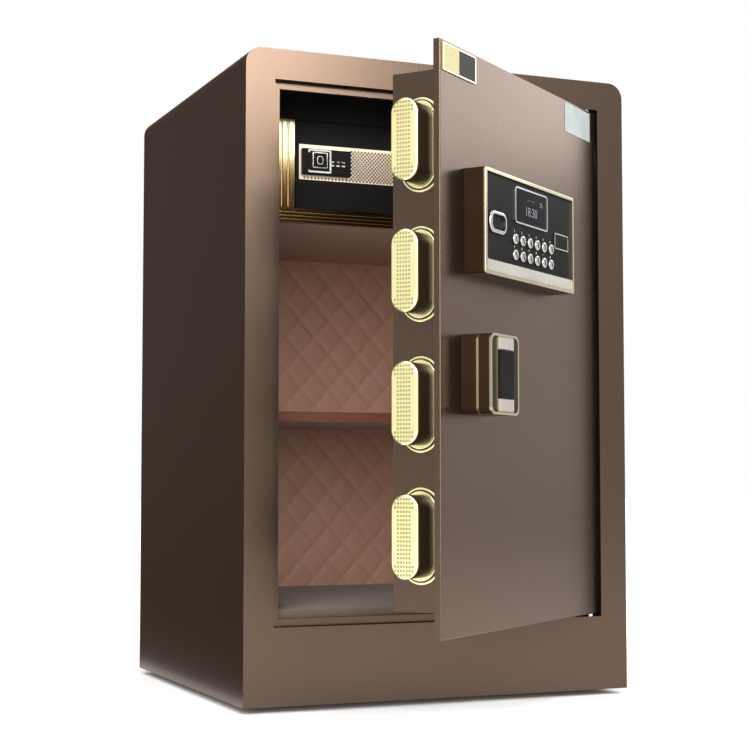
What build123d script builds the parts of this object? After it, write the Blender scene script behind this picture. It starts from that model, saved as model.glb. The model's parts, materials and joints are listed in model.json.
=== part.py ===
# Home safe with its door standing open: cabinet, swinging door with four lock bolts, turning
# handle, keypad, inner compartment with its own small door, and a shelf.
# Millimetres. X runs to the right, Y runs back into the safe, Z runs up. The origin is the centre
# of the base on the floor. The door pieces are drawn with the door shut, then swung to the rest pose.
import os
from math import acos, cos, pi, radians, sin, sqrt, tan

from build123d import *

# Cabinet
cabinet_width = 392.0
cabinet_depth = 356.0
cabinet_height = 594.0
foot_height = 6.0
foot_radius = 18.0
sheet = 3.0
top_edge_radius = 15.0
anchor_from_side = 46.0
anchor_spacing_y = 220.0
anchor_hole_radius = 7.0
anchor_access_radius = 14.0

# Door opening in the front frame
side_rail = 28.0
top_rail = 28.0
opening_bottom = 76.0
rebate_depth = 8.0
lip_width = 7.0
lip_thickness = 5.5
rebate_wall = 3.0
hinge_lip_depth = 17.0
lip_hinge_clear = 25.0

# Door
door_angle = 37.5
door_gap = 3.0
plate_thickness = 6.0
plate_edge_radius = 0.8
pivot_from_edge = 6.0
pivot_depth = 6.0
hinge_pin_radius = 3.0
hinge_pin_rise = 16.0
hinge_block_width = 18.0
hinge_block_depth = 8.0
hinge_block_height = 29.0
hinge_notch_width = 12.0
hinge_notch_depth = 3.5
hinge_socket_width = 22.0
hinge_socket_height = 12.0
hinge_socket_front = 13.0
box_inset = 20.0
box_hinge_inset = 24.0
box_depth = 47.0
box_sheet = 2.0
cover_screw_radius = 3.0
cover_screw_head = 1.2
cover_screw_inset = 12.0

# Lock bolts and their carrier
bolt_count = 4
bolt_end_margin = 62.55
bolt_height = 68.0
bolt_thickness = 24.5
bolt_reach = 30.0
bolt_inner_end = 62.0
bolt_centre_depth = 28.5
bolt_front_chamfer = 1.2
bolt_cap = 3.0
collar_rim = 6.0
collar_proud = 3.2
collar_step_proud = 1.6
collar_inner = 4.0
collar_edge = 0.7
carrier_width = 12.0
guide_width = 20.0
guide_height = 16.0
guide_start = 26.0

# Rack and pinion between the handle and the bolt carrier
tooth_module = 2.0
pinion_teeth = 16
pressure_angle = 20.0
tooth_addendum = 1.8
tooth_dedendum = 2.4
tooth_backlash = 0.35
gear_front = 7.5
gear_width = 7.0
rack_start = 23.0
rack_back_height = 9.0

# Handle
handle_from_edge = 62.5
handle_below_middle = 29.0
handle_width = 54.0
handle_height = 67.0
handle_corner = 6.0
handle_lift = 0.4
handle_base_top = 14.5
handle_band_top = 16.6
handle_neck_top = 26.4
handle_rim_top = 28.2
handle_cap_top = 28.6
handle_face_top = 30.0
handle_band_width = 3.0
handle_rim_width = 2.0
handle_cap_width = 32.0
handle_cap_corner = 2.5
handle_face_width = 26.0
handle_pad_height = 9.4
handle_pad_line = 0.6
spindle_radius = 6.0
bush_radius = 9.0
bush_flange_radius = 12.0
bush_flange = 1.2

# Control panel
panel_from_edge = 43.5
panel_width = 186.0
panel_above_middle = 55.0
panel_height = 89.5
panel_depth = 18.0
panel_wall = 3.5
panel_floor = 3.0
panel_ledge = 1.5
fascia_thickness = 2.5
panel_frame_width = 3.2
panel_frame_proud = 2.0
panel_frame_edge = 0.8
panel_corner = 2.0
strip_height = 9.3
strip_proud = 1.4
strip_rib_pitch = 3.0
display_from_edge = 103.0
display_width = 68.0
display_above_panel = 50.0
display_height = 32.0
display_corner = 3.0
display_rim = 1.4
display_proud = 1.5
glass_proud = 0.8
reader_centre_from_edge = 67.5
reader_above_panel = 45.0
reader_width = 32.0
reader_height = 19.0
reader_corner = 8.0
reader_rim = 3.0
reader_proud = 3.0
badge_from_edge = 187.0
badge_width = 30.5
badge_above_panel = 37.5
badge_height = 14.5
badge_rim = 0.9
badge_proud = 1.0
key_columns = 6
key_rows = 2
key_first_from_edge = 103.7
key_pitch_across = 15.07
key_row_above_panel = 35.7
key_pitch_down = 13.8
key_radius = 4.7
key_flange_radius = 5.6
key_flange = 1.2
key_stem_front = 0.9
key_dome = 1.3
board_thickness = 1.6
board_margin = 14.0
board_post_radius = 3.0
board_post_height = 3.0

# Plates on the door face
name_plate_from_edge = 4.0
name_plate_width = 60.0
name_plate_height = 23.0
name_plate_from_top = 2.5
name_plate_thickness = 1.0
label_from_hinge_side = 13.0
label_width = 60.0
label_height = 28.0
label_from_top = 2.5
label_thickness = 0.4

# Lining and shelf
lining_front = 46.0
side_lining = 25.0
back_lining = 13.0
deck_top = 82.0
deck_sheet = 2.0
floor_lining = 8.0
floor_front = 17.0
top_lining = 12.0
top_lining_inset = 15.0
soft_gap = 0.3
shelf_bottom = 265.0
shelf_thickness = 10.0
shelf_front = 130.0
shelf_trim = 2.0
peg_radius = 3.5
peg_reach = 8.0
peg_seat = 10.0
peg_inset = 35.0
quilt_pitch = 42.0
quilt_groove = 1.2

# Inner compartment
inner_front = 75.0
inner_height = 118.0
inner_sheet = 2.0
inner_frame_depth = 8.0
inner_rail_height = 13.5
inner_pilaster_width = 46.0
inner_top_rail = 18.5
inner_door_gap = 1.6
inner_door_thickness = 5.0
inner_door_recess = 0.5
inner_pivot_from_edge = 2.7
inner_pin_radius = 1.5
inner_pin_rise = 5.0
flute_count = 3
flute_radius = 1.2
strip_above_opening = 28.5
strip_height_on_door = 34.0
strip_side = 3.0
strip_thickness = 1.0
module_from_edge = 5.0
module_width = 49.5
module_above_strip = 4.5
module_height = 25.0
module_depth = 5.5
module_button = 17.0
module_button_proud = 0.8

# Fits
running_fit = 0.05
sliding_fit = 0.08
seat_fit = 0.05

# Positions that follow from the sizes above
base_z = foot_height
top_z = foot_height + cabinet_height
front_y = -cabinet_depth / 2
back_y = cabinet_depth / 2
half_width = cabinet_width / 2
anchor_spacing_x = cabinet_width - 2 * anchor_from_side
inside_x = half_width - sheet
opening_width = cabinet_width - 2 * side_rail
opening_x = opening_width / 2
opening_top = top_z - top_rail
opening_height = opening_top - opening_bottom
door_left = -opening_x + door_gap
door_right = opening_x - door_gap
door_bottom = opening_bottom + door_gap
door_top = opening_top - door_gap
pivot_x = door_right - pivot_from_edge
pivot_y = front_y + pivot_depth
box_left = door_left + box_inset
box_right = door_right - box_hinge_inset
box_bottom = door_bottom + box_inset
box_top = door_top - box_inset
box_back = plate_thickness + box_depth
bolt_middle_z = (door_bottom + door_top) / 2
bolt_pitch = (box_top - box_bottom - 2 * bolt_end_margin) / (bolt_count - 1)
handle_centre_z = bolt_middle_z - handle_below_middle
panel_bottom = bolt_middle_z + panel_above_middle
display_bottom = panel_bottom + display_above_panel
reader_centre_z = panel_bottom + reader_above_panel
badge_bottom = panel_bottom + badge_above_panel
key_top_row_z = panel_bottom + key_row_above_panel
name_plate_top = door_top - name_plate_from_top
label_top = door_top - label_from_top
label_from_edge = door_right - door_left - label_width - label_from_hinge_side
bolt_length = bolt_reach + bolt_inner_end - box_inset
pinion_radius = tooth_module * pinion_teeth / 2
lining_back_y = back_y - sheet - back_lining
lining_x = inside_x - side_lining
top_lining_width = 2 * (inside_x - top_lining_inset)
lining_top_z = top_z - sheet - top_lining
inner_open_width = 2 * (lining_x - inner_pilaster_width)
inner_wall_x = inner_open_width / 2 + inner_sheet
inner_left = -inner_open_width / 2
inner_bottom = opening_top - inner_height
inner_open_bottom = inner_bottom + inner_rail_height
inner_open_top = opening_top - inner_top_rail
strip_bottom = inner_open_bottom + strip_above_opening
strip_top = strip_bottom + strip_height_on_door
module_bottom = strip_bottom + module_above_strip


def block(x0, x1, y0, y1, z0, z1):
    """Box between two corners."""
    size = (x1 - x0, y1 - y0, z1 - z0)
    middle = ((x0 + x1) / 2, (y0 + y1) / 2, (z0 + z1) / 2)
    return Pos(*middle) * Box(*size)


def cabinet_block(x0, x1, depth0, depth1, z0, z1):
    """Box whose Y limits are depths behind the front face."""
    return block(x0, x1, front_y + depth0, front_y + depth1, z0, z1)


def door_block(edge0, edge1, depth0, depth1, z0, z1):
    """Box on the shut door: distances from its free edge, depths behind its front face."""
    return cabinet_block(door_left + edge0, door_left + edge1, depth0, depth1, z0, z1)


def post(x, y, z0, z1, radius):
    """Upright cylinder."""
    return Pos(x, y, (z0 + z1) / 2) * Cylinder(radius, z1 - z0)


def along_y(x, z, depth0, depth1, radius):
    """Cylinder that points into the safe, between two depths."""
    middle = front_y + (depth0 + depth1) / 2
    return Pos(x, middle, z) * Rot(90, 0, 0) * Cylinder(radius, depth1 - depth0)


def along_x(x0, x1, y, z, radius):
    """Cylinder that runs from side to side."""
    return Pos((x0 + x1) / 2, y, z) * Rot(0, 90, 0) * Cylinder(radius, x1 - x0)


def face_plate(edge0, edge1, z0, z1, depth0, depth1, corner):
    """Plate parallel to the door face, with rounded corners."""
    width = edge1 - edge0
    height = z1 - z0
    outline = RectangleRounded(width, height, corner)
    plate = extrude(outline, depth1 - depth0)
    x = door_left + (edge0 + edge1) / 2
    return Pos(x, front_y + depth1, (z0 + z1) / 2) * Rot(90, 0, 0) * plate


def stadium_bar(x0, x1, z, thickness, height):
    """Bar along X whose cross-section is an upright stadium at the bolt depth."""
    outline = SlotOverall(height, thickness)
    bar = extrude(outline, x1 - x0)
    return Pos(x0, front_y + bolt_centre_depth, z) * Rot(0, 90, 0) * bar


def swing(shape):
    """Move a door piece from the shut pose to the rest pose."""
    hinge = Pos(pivot_x, pivot_y, 0) * Rot(0, 0, door_angle) * Pos(-pivot_x, -pivot_y, 0)
    return Compound(children=[hinge * solid for solid in shape.solids()])


def save(node, shape):
    """Write one node."""
    export_step(shape, os.path.join("parts", node + ".step"))


def body_outline(inset):
    """Cross-section of the cabinet: square at the bottom, round at the two top edges."""
    width = cabinet_width - 2 * inset
    height = cabinet_height - 2 * inset
    outline = Pos(0, base_z + cabinet_height / 2) * Rectangle(width, height)
    upper = outline.vertices().sort_by(Axis.Y)[-2:]
    return fillet(upper, top_edge_radius - inset)


def body_prism(inset, y0, y1):
    """Cabinet cross-section drawn out along Y."""
    prism = extrude(body_outline(inset), y1 - y0)
    return Pos(0, y1, 0) * Rot(90, 0, 0) * prism


def anchor_points():
    """Centres of the four floor anchor holes."""
    across = anchor_spacing_x / 2
    along = anchor_spacing_y / 2
    return [(x, y) for x in (-across, across) for y in (-along, along)]


def cabinet_shell():
    shell = body_prism(0, front_y + sheet, back_y - sheet)
    shell -= body_prism(sheet, front_y + sheet, back_y - sheet)
    for x, y in anchor_points():
        shell -= post(x, y, base_z, base_z + sheet, anchor_hole_radius)
    return shell


def back_plate():
    return body_prism(0, back_y - sheet, back_y)


def front_frame():
    wall = opening_x + rebate_wall
    lip_back = rebate_depth + lip_thickness
    right_back = hinge_lip_depth + lip_thickness
    bottom_wall = opening_bottom - rebate_wall
    top_wall = opening_top + rebate_wall
    frame = body_prism(0, front_y, front_y + sheet)
    frame += cabinet_block(-wall, wall, sheet, lip_back, bottom_wall, top_wall)
    deep_bottom = deck_top + floor_lining + soft_gap
    frame += cabinet_block(opening_x, wall, lip_back, right_back, deep_bottom, top_wall)
    frame -= cabinet_block(-opening_x, opening_x, 0, lip_back, opening_bottom, opening_top)
    lip_end = opening_x - lip_hinge_clear
    lip_top = opening_top - lip_width
    lip_bottom = opening_bottom + lip_width
    lip_left = -opening_x + lip_width
    frame += cabinet_block(-opening_x, lip_left, rebate_depth, lip_back, opening_bottom, opening_top)
    frame += cabinet_block(-opening_x, lip_end, rebate_depth, lip_back, lip_top, opening_top)
    frame += cabinet_block(-opening_x, lip_end, rebate_depth, lip_back, opening_bottom, lip_bottom)
    frame += cabinet_block(
        opening_x - lip_width, opening_x, hinge_lip_depth, right_back, deep_bottom, top_wall)
    hole = hinge_pin_radius + running_fit
    frame -= post(pivot_x, pivot_y, bottom_wall, top_wall, hole)
    return frame


def hinge_sockets():
    x0 = pivot_x - hinge_socket_width / 2
    x1 = pivot_x + hinge_socket_width / 2
    hole = hinge_pin_radius + running_fit
    top = opening_top + rebate_wall
    bottom = opening_bottom - rebate_wall
    upper = cabinet_block(x0, x1, sheet, hinge_socket_front, top, top + hinge_socket_height)
    upper -= post(pivot_x, pivot_y, top, top + hinge_socket_height, hole)
    lower = cabinet_block(x0, x1, sheet, hinge_socket_front, bottom - hinge_socket_height, bottom)
    lower -= post(pivot_x, pivot_y, bottom - hinge_socket_height, bottom, hole)
    return Compound(children=[upper, lower])


def feet():
    rings = []
    for x, y in anchor_points():
        ring = post(x, y, 0, base_z, foot_radius)
        ring -= post(x, y, 0, base_z, anchor_hole_radius)
        rings.append(ring)
    return Compound(children=rings)


def floor_deck():
    leg = inside_x - deck_sheet
    back = cabinet_depth - sheet
    deck = cabinet_block(-inside_x, inside_x, floor_front, back, base_z + sheet, deck_top)
    deck -= cabinet_block(-leg, leg, floor_front, back, base_z + sheet, deck_top - deck_sheet)
    for x, y in anchor_points():
        deck -= post(x, y, deck_top - deck_sheet, deck_top, anchor_access_radius)
    return deck


def floor_lining_pad():
    x = lining_x - soft_gap
    pad = cabinet_block(
        -x, x, floor_front, cabinet_depth - sheet - back_lining - soft_gap,
        deck_top, deck_top + floor_lining)
    for x, y in anchor_points():
        pad -= post(x, y, deck_top, deck_top + floor_lining, anchor_access_radius)
    return pad


def quilt_lines(width, height):
    """Start and end points of the stitched lines of a diamond quilt on a panel."""
    lines = []
    reach = height / 2
    count = int((width + height) / quilt_pitch / 2)
    for step in range(-count, count + 1):
        middle = step * quilt_pitch
        lines.append(((middle - reach, -reach), (middle + reach, reach)))
        lines.append(((middle - reach, reach), (middle + reach, -reach)))
    return lines


def lining_back():
    width = 2 * (lining_x - soft_gap)
    z0 = deck_top
    z1 = lining_top_z - soft_gap
    depth1 = cabinet_depth - sheet
    pad = cabinet_block(-width / 2, width / 2, depth1 - back_lining, depth1, z0, z1)
    height = z1 - z0
    grooves = []
    for (x0, v0), (x1, v1) in quilt_lines(width, height):
        length = sqrt((x1 - x0) ** 2 + (v1 - v0) ** 2)
        tilt = 45 if (x1 - x0) * (v1 - v0) > 0 else -45
        line = Box(length, 2 * quilt_groove, quilt_groove)
        middle_z = (z0 + z1) / 2
        grooves.append(Pos((x0 + x1) / 2, lining_back_y, middle_z) * Rot(0, -tilt, 0) * line)
    pad -= grooves
    return pad


def lining_sides():
    depth1 = cabinet_depth - sheet
    pieces = []
    for side in (-1, 1):
        x0, x1 = sorted((side * lining_x, side * inside_x))
        pad = cabinet_block(x0, x1, lining_front, depth1, deck_top, lining_top_z - soft_gap)
        for depth in peg_depths():
            hole = sorted((side * lining_x, side * (lining_x + peg_seat)))
            pad -= along_x(*hole, front_y + depth, peg_z(), peg_radius + seat_fit)
        pieces.append(pad)
    return Compound(children=pieces)


def lining_top():
    x = top_lining_width / 2
    depth1 = cabinet_depth - sheet
    return cabinet_block(-x, x, lining_front, depth1, lining_top_z, top_z - sheet)


def peg_depths():
    back = cabinet_depth - sheet - back_lining
    return (shelf_front + peg_inset, back - peg_inset)


def peg_z():
    return shelf_bottom - peg_radius


def shelf():
    back = cabinet_depth - sheet - back_lining - soft_gap
    x = lining_x - soft_gap
    return cabinet_block(-x, x, shelf_front, back, shelf_bottom, shelf_bottom + shelf_thickness)


def shelf_edge():
    x = lining_x - soft_gap
    top = shelf_bottom + shelf_thickness
    edge = cabinet_block(-x, x, shelf_front - shelf_trim, shelf_front, shelf_bottom, top)
    return fillet(edge.edges().filter_by(Axis.X).group_by(Axis.Y)[0], shelf_trim / 3)


def shelf_pegs():
    pegs = []
    for side in (-1, 1):
        for depth in peg_depths():
            x0, x1 = sorted((side * (lining_x - peg_reach), side * (lining_x + peg_seat)))
            pegs.append(along_x(x0, x1, front_y + depth, peg_z(), peg_radius))
    return Compound(children=pegs)


def inner_box():
    x = lining_x - soft_gap
    depth0 = inner_front + inner_frame_depth
    depth1 = cabinet_depth - sheet - back_lining - soft_gap
    box = cabinet_block(-x, x, depth0, depth1, inner_bottom, inner_bottom + inner_sheet)
    for side in (-1, 1):
        x0, x1 = sorted((side * inner_wall_x, side * (inner_wall_x + inner_sheet)))
        box += cabinet_block(x0, x1, depth0, depth1, inner_bottom, lining_top_z)
    return box


def inner_frame():
    x = lining_x - soft_gap
    depth1 = inner_front + inner_frame_depth
    rail = cabinet_block(-x, x, inner_front, depth1, inner_bottom, inner_open_bottom)
    frame = rail
    edge = inner_open_width / 2
    for side in (-1, 1):
        x0, x1 = sorted((side * edge, side * x))
        frame += cabinet_block(x0, x1, inner_front, depth1, inner_open_bottom, inner_open_top)
    pitch = inner_rail_height / (flute_count + 1)
    for flute in range(flute_count):
        z = inner_bottom + pitch * (flute + 1)
        frame -= along_x(-x, x, front_y + inner_front, z, flute_radius)
    post_pitch = (x - edge) / (2 * flute_count + 1)
    for side in (-1, 1):
        for flute in range(2 * flute_count):
            groove_x = side * (edge + post_pitch * (flute + 1))
            z0 = inner_open_bottom + flute_radius
            frame -= post(groove_x, front_y + inner_front, z0, inner_open_top, flute_radius)
    frame -= inner_pin_hole()
    return frame


def top_fascia():
    x = lining_x - soft_gap
    depth1 = inner_front + inner_frame_depth
    fascia = cabinet_block(-x, x, inner_front, depth1, inner_open_top, lining_top_z)
    fascia -= inner_pin_hole()
    return fascia


def inner_pivot():
    """Centre of the small door's pivot, as X and Y."""
    x = inner_open_width / 2 - inner_door_gap - inner_pivot_from_edge
    y = front_y + inner_front + inner_door_recess + inner_door_thickness / 2
    return x, y


def inner_pin_hole():
    x, y = inner_pivot()
    z0 = inner_open_bottom - inner_pin_rise - inner_door_recess
    z1 = inner_open_top + inner_pin_rise + inner_door_recess
    return post(x, y, z0, z1, inner_pin_radius + running_fit)


def inner_door_limits():
    """Outline of the small door as X and Z limits."""
    x = inner_open_width / 2 - inner_door_gap
    return -x, x, inner_open_bottom + inner_door_recess, inner_open_top - inner_door_recess


def inner_door_panel():
    x0, x1, z0, z1 = inner_door_limits()
    depth0 = inner_front + inner_door_recess
    panel = cabinet_block(x0, x1, depth0, depth0 + inner_door_thickness, z0, z1)
    x, y = inner_pivot()
    panel -= post(x, y, z0, z1, inner_pin_radius + seat_fit)
    return panel


def inner_door_pin():
    x, y = inner_pivot()
    x0, x1, z0, z1 = inner_door_limits()
    return post(x, y, z0 - inner_pin_rise, z1 + inner_pin_rise, inner_pin_radius)


def inner_door_strip():
    x0, x1, z0, z1 = inner_door_limits()
    depth1 = inner_front + inner_door_recess
    return cabinet_block(
        x0 + strip_side, x1 - strip_side, depth1 - strip_thickness, depth1, strip_bottom, strip_top)


def inner_lock():
    x0, x1, z0, z1 = inner_door_limits()
    depth1 = inner_front + inner_door_recess - strip_thickness
    depth0 = depth1 - module_depth
    left = x0 + module_from_edge
    top = module_bottom + module_height
    body = cabinet_block(left, left + module_width, depth0, depth1, module_bottom, top)
    body = fillet(body.edges().group_by(Axis.Y)[0], 1.0)
    middle_z = (module_bottom + top) / 2
    half = module_button / 2
    button = cabinet_block(
        left + half / 2, left + half / 2 + module_button,
        depth0 - module_button_proud, depth0, middle_z - half, middle_z + half)
    return body + button


def hinge_block(z0, z1):
    """One hinge block with its notch filler, behind the door plate."""
    block_solid = cabinet_block(
        door_right - hinge_block_width, door_right,
        plate_thickness, plate_thickness + hinge_block_depth, z0, z1)
    block_solid += cabinet_block(
        door_right - hinge_notch_width + seat_fit, door_right,
        plate_thickness - hinge_notch_depth + seat_fit, plate_thickness, z0 + seat_fit, z1)
    return block_solid


def hinge_blocks():
    upper = hinge_block(door_top - hinge_block_height, door_top)
    upper += post(pivot_x, pivot_y, door_top - hinge_block_height / 2,
                  opening_top + hinge_pin_rise - door_gap, hinge_pin_radius)
    lower = hinge_block(door_bottom, door_bottom + hinge_block_height)
    lower += post(pivot_x, pivot_y, opening_bottom - hinge_pin_rise + door_gap,
                  door_bottom + hinge_block_height / 2, hinge_pin_radius)
    return Compound(children=[upper, lower])


def door_plate():
    plate = cabinet_block(door_left, door_right, 0, plate_thickness, door_bottom, door_top)
    plate = fillet(plate.faces().sort_by(Axis.Y)[0].edges(), plate_edge_radius)
    for z0, z1 in ((door_bottom, door_bottom + hinge_block_height),
                   (door_top - hinge_block_height, door_top)):
        plate -= cabinet_block(
            door_right - hinge_notch_width, door_right,
            plate_thickness - hinge_notch_depth, plate_thickness, z0, z1)
    x = door_left + handle_from_edge
    plate -= along_y(x, handle_centre_z, 0, plate_thickness, bush_radius + seat_fit)
    return plate


def bolt_centres():
    """Heights of the lock bolts."""
    first = bolt_middle_z - bolt_pitch * (bolt_count - 1) / 2
    return [first + bolt_pitch * index for index in range(bolt_count)]


def door_box():
    box = cabinet_block(box_left, box_right, plate_thickness, box_back, box_bottom, box_top)
    box -= cabinet_block(
        box_left + box_sheet, box_right - box_sheet, plate_thickness, box_back,
        box_bottom + box_sheet, box_top - box_sheet)
    width = bolt_thickness + collar_rim + seat_fit
    height = bolt_height + collar_rim + seat_fit
    for z in bolt_centres():
        box -= stadium_bar(box_left, box_left + box_sheet, z, width, height)
    return box


def screw_points():
    """Centres of the back cover's screws."""
    xs = (box_left + cover_screw_inset, box_right - cover_screw_inset)
    zs = (box_bottom + cover_screw_inset, (box_bottom + box_top) / 2, box_top - cover_screw_inset)
    return [(x, z) for x in xs for z in zs]


def box_cover():
    return cabinet_block(
        box_left, box_right, box_back, box_back + box_sheet, box_bottom, box_top)


def cover_screws():
    depth = box_back + box_sheet
    heads = [along_y(x, z, depth, depth + cover_screw_head, cover_screw_radius)
             for x, z in screw_points()]
    return Compound(children=heads)


def collar_layer(z, proud, inner_end, rim):
    """One stadium-shaped layer of a bolt collar, wider than the bolt by its rim."""
    x0 = box_left - proud
    layer = stadium_bar(
        x0, box_left + inner_end, z, bolt_thickness + 2 * rim, bolt_height + 2 * rim)
    return fillet(layer.faces().sort_by(Axis.X)[0].edges(), collar_edge)


def bolt_collars():
    rings = []
    hole_width = bolt_thickness + 2 * sliding_fit
    hole_height = bolt_height + 2 * sliding_fit
    for z in bolt_centres():
        ring = collar_layer(z, collar_step_proud, 0, collar_rim)
        ring += collar_layer(z, collar_proud, collar_inner, collar_rim / 2)
        ring -= stadium_bar(
            box_left - collar_proud, box_left + collar_inner, z, hole_width, hole_height)
        rings.append(ring)
    return Compound(children=rings)


def bolt_guides():
    pads = []
    depth1 = bolt_centre_depth - bolt_thickness / 2 - sliding_fit
    for z in bolt_centres():
        pads.append(door_block(
            guide_start, guide_start + guide_width, plate_thickness, depth1,
            z - guide_height / 2, z + guide_height / 2))
    return Compound(children=pads)


def lock_bolts():
    bars = []
    x0 = box_left - bolt_reach
    for z in bolt_centres():
        bars.append(stadium_bar(x0 + bolt_cap, x0 + bolt_length, z, bolt_thickness, bolt_height))
    return Compound(children=bars)


def bolt_caps():
    caps = []
    x0 = box_left - bolt_reach
    for z in bolt_centres():
        cap = stadium_bar(x0, x0 + bolt_cap, z, bolt_thickness, bolt_height)
        caps.append(chamfer(cap.faces().sort_by(Axis.X)[0].edges(), bolt_front_chamfer))
    return Compound(children=caps)


def rack_tooth(middle_x):
    """One straight-sided tooth of the rack, pointing down at the pinion."""
    pitch_z = handle_centre_z + pinion_radius
    half = pi * tooth_module / 4 - tooth_backlash / 2
    slope = tan(radians(pressure_angle))
    tip = half - tooth_addendum * slope
    root = half + tooth_dedendum * slope
    z_tip = pitch_z - tooth_addendum
    z_root = pitch_z + tooth_dedendum
    outline = Polygon(
        (middle_x - tip, z_tip), (middle_x + tip, z_tip),
        (middle_x + root, z_root), (middle_x - root, z_root), align=None)
    tooth = extrude(outline, gear_width)
    return Pos(0, front_y + gear_front + gear_width, 0) * Rot(90, 0, 0) * tooth


def bolt_carrier():
    zs = bolt_centres()
    depth0 = bolt_centre_depth - bolt_thickness / 2
    depth1 = bolt_centre_depth + bolt_thickness / 2
    end = bolt_inner_end + carrier_width
    carrier = door_block(
        bolt_inner_end, end, depth0, depth1, zs[0] - bolt_height / 2, zs[-1] + bolt_height / 2)
    z_root = handle_centre_z + pinion_radius + tooth_dedendum
    carrier += door_block(
        rack_start, end, gear_front, gear_front + gear_width, z_root, z_root + rack_back_height)
    carrier += door_block(
        bolt_inner_end, end, gear_front, depth0, z_root, z_root + rack_back_height)
    pitch = pi * tooth_module
    handle_x = door_left + handle_from_edge
    reach_left = handle_from_edge - rack_start
    teeth_left = int((reach_left - pitch / 2) / pitch)
    teeth_right = int((end - handle_from_edge - pitch / 2) / pitch)
    for tooth in range(-teeth_left, teeth_right + 1):
        carrier += rack_tooth(handle_x + tooth * pitch)
    return carrier


def involute_point(base_radius, radius):
    """Polar angle of an involute at a radius."""
    tangent = sqrt(max((radius / base_radius) ** 2 - 1, 0))
    return tangent - acos(min(base_radius / radius, 1))


def pinion_outline():
    """Spur gear outline with a tooth gap pointing straight up."""
    base_radius = pinion_radius * cos(radians(pressure_angle))
    tip_radius = pinion_radius + tooth_addendum
    root_radius = pinion_radius - tooth_dedendum
    pitch_angle = 2 * pi / pinion_teeth
    half_tooth = pitch_angle / 4 - tooth_backlash / 2 / pinion_radius
    pitch_involute = involute_point(base_radius, pinion_radius)
    steps = 6
    start = max(base_radius, root_radius)
    radii = [start + (tip_radius - start) * step / steps for step in range(steps + 1)]
    points = []
    for tooth in range(pinion_teeth):
        middle = pi / 2 + pitch_angle / 2 + tooth * pitch_angle
        flank = [(radius, half_tooth + pitch_involute - involute_point(base_radius, radius))
                 for radius in radii]
        flank.insert(0, (root_radius, flank[0][1]))
        for radius, offset in flank:
            points.append((radius * cos(middle - offset), radius * sin(middle - offset)))
        for radius, offset in reversed(flank):
            points.append((radius * cos(middle + offset), radius * sin(middle + offset)))
    return Polygon(*points, align=None)


def handle_spindle():
    x = door_left + handle_from_edge
    gear = extrude(pinion_outline(), gear_width)
    spindle = Pos(x, front_y + gear_front + gear_width, handle_centre_z) * Rot(90, 0, 0) * gear
    spindle += along_y(x, handle_centre_z, -handle_lift, gear_front, spindle_radius)
    return spindle


def handle_bush():
    x = door_left + handle_from_edge
    bush = along_y(x, handle_centre_z, 0, plate_thickness, bush_radius)
    bush += along_y(
        x, handle_centre_z, plate_thickness, plate_thickness + bush_flange, bush_flange_radius)
    bush -= along_y(x, handle_centre_z, 0, plate_thickness + bush_flange,
                    spindle_radius + running_fit)
    return bush


def handle_layer(proud0, proud1, inset):
    """One rounded layer of the handle block, by its height over the door face."""
    edge0 = handle_from_edge - handle_width / 2 + inset
    edge1 = handle_from_edge + handle_width / 2 - inset
    z0 = handle_centre_z - handle_height / 2 + inset
    z1 = handle_centre_z + handle_height / 2 - inset
    return face_plate(edge0, edge1, z0, z1, -proud1, -proud0, handle_corner)


def handle_cap(width, height, proud0, proud1, corner):
    """Narrow rounded layer on the middle of the handle's face."""
    return face_plate(
        handle_from_edge - width / 2, handle_from_edge + width / 2,
        handle_centre_z - height / 2, handle_centre_z + height / 2, -proud1, -proud0, corner)


def handle_body():
    body = handle_layer(handle_lift, handle_base_top, 0)
    body += handle_layer(handle_base_top, handle_band_top, handle_band_width)
    body += handle_layer(handle_band_top, handle_neck_top, 0)
    body += handle_layer(handle_neck_top, handle_rim_top - soft_gap, handle_rim_width)
    return body


def handle_bands():
    lower = handle_layer(handle_base_top, handle_band_top, 0)
    lower -= handle_layer(handle_base_top, handle_band_top, handle_band_width)
    upper = handle_layer(handle_neck_top, handle_rim_top, 0)
    upper -= handle_layer(handle_neck_top, handle_rim_top, handle_rim_width)
    height = handle_height - 2 * (handle_rim_width + soft_gap)
    cap = handle_cap(
        handle_cap_width, height, handle_rim_top - soft_gap, handle_cap_top, handle_cap_corner)
    return Compound(children=[lower, upper, cap])


def handle_pads():
    pads = []
    half = handle_height / 2 - handle_rim_width - 2 * handle_pad_line
    edge0 = handle_from_edge - handle_face_width / 2
    edge1 = handle_from_edge + handle_face_width / 2
    for z0, z1 in ((handle_centre_z + half - handle_pad_height, handle_centre_z + half),
                   (handle_centre_z - half, handle_centre_z - half + handle_pad_height)):
        pads.append(door_block(edge0, edge1, -handle_face_top, -handle_cap_top, z0, z1))
    return Compound(children=pads)


def handle_window():
    half = handle_height / 2 - handle_rim_width - 3 * handle_pad_line - handle_pad_height
    return door_block(
        handle_from_edge - handle_face_width / 2, handle_from_edge + handle_face_width / 2,
        -handle_face_top, -handle_cap_top, handle_centre_z - half, handle_centre_z + half)


def panel_limits(inset):
    """Outline of the control panel as limits from the free edge and heights."""
    return (panel_from_edge + inset, panel_from_edge + panel_width - inset,
            panel_bottom + inset, panel_bottom + panel_height - inset)


def panel_housing():
    fascia_back = panel_depth - fascia_thickness
    housing = face_plate(*panel_limits(0), -panel_depth, 0, panel_corner)
    e0, e1, z0, z1 = panel_limits(panel_wall)
    housing -= door_block(e0, e1, -panel_depth, -panel_floor, z0, z1)
    e0, e1, z0, z1 = panel_limits(panel_wall - panel_ledge)
    housing -= door_block(e0, e1, -panel_depth, -fascia_back, z0, z1)
    return housing


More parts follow.
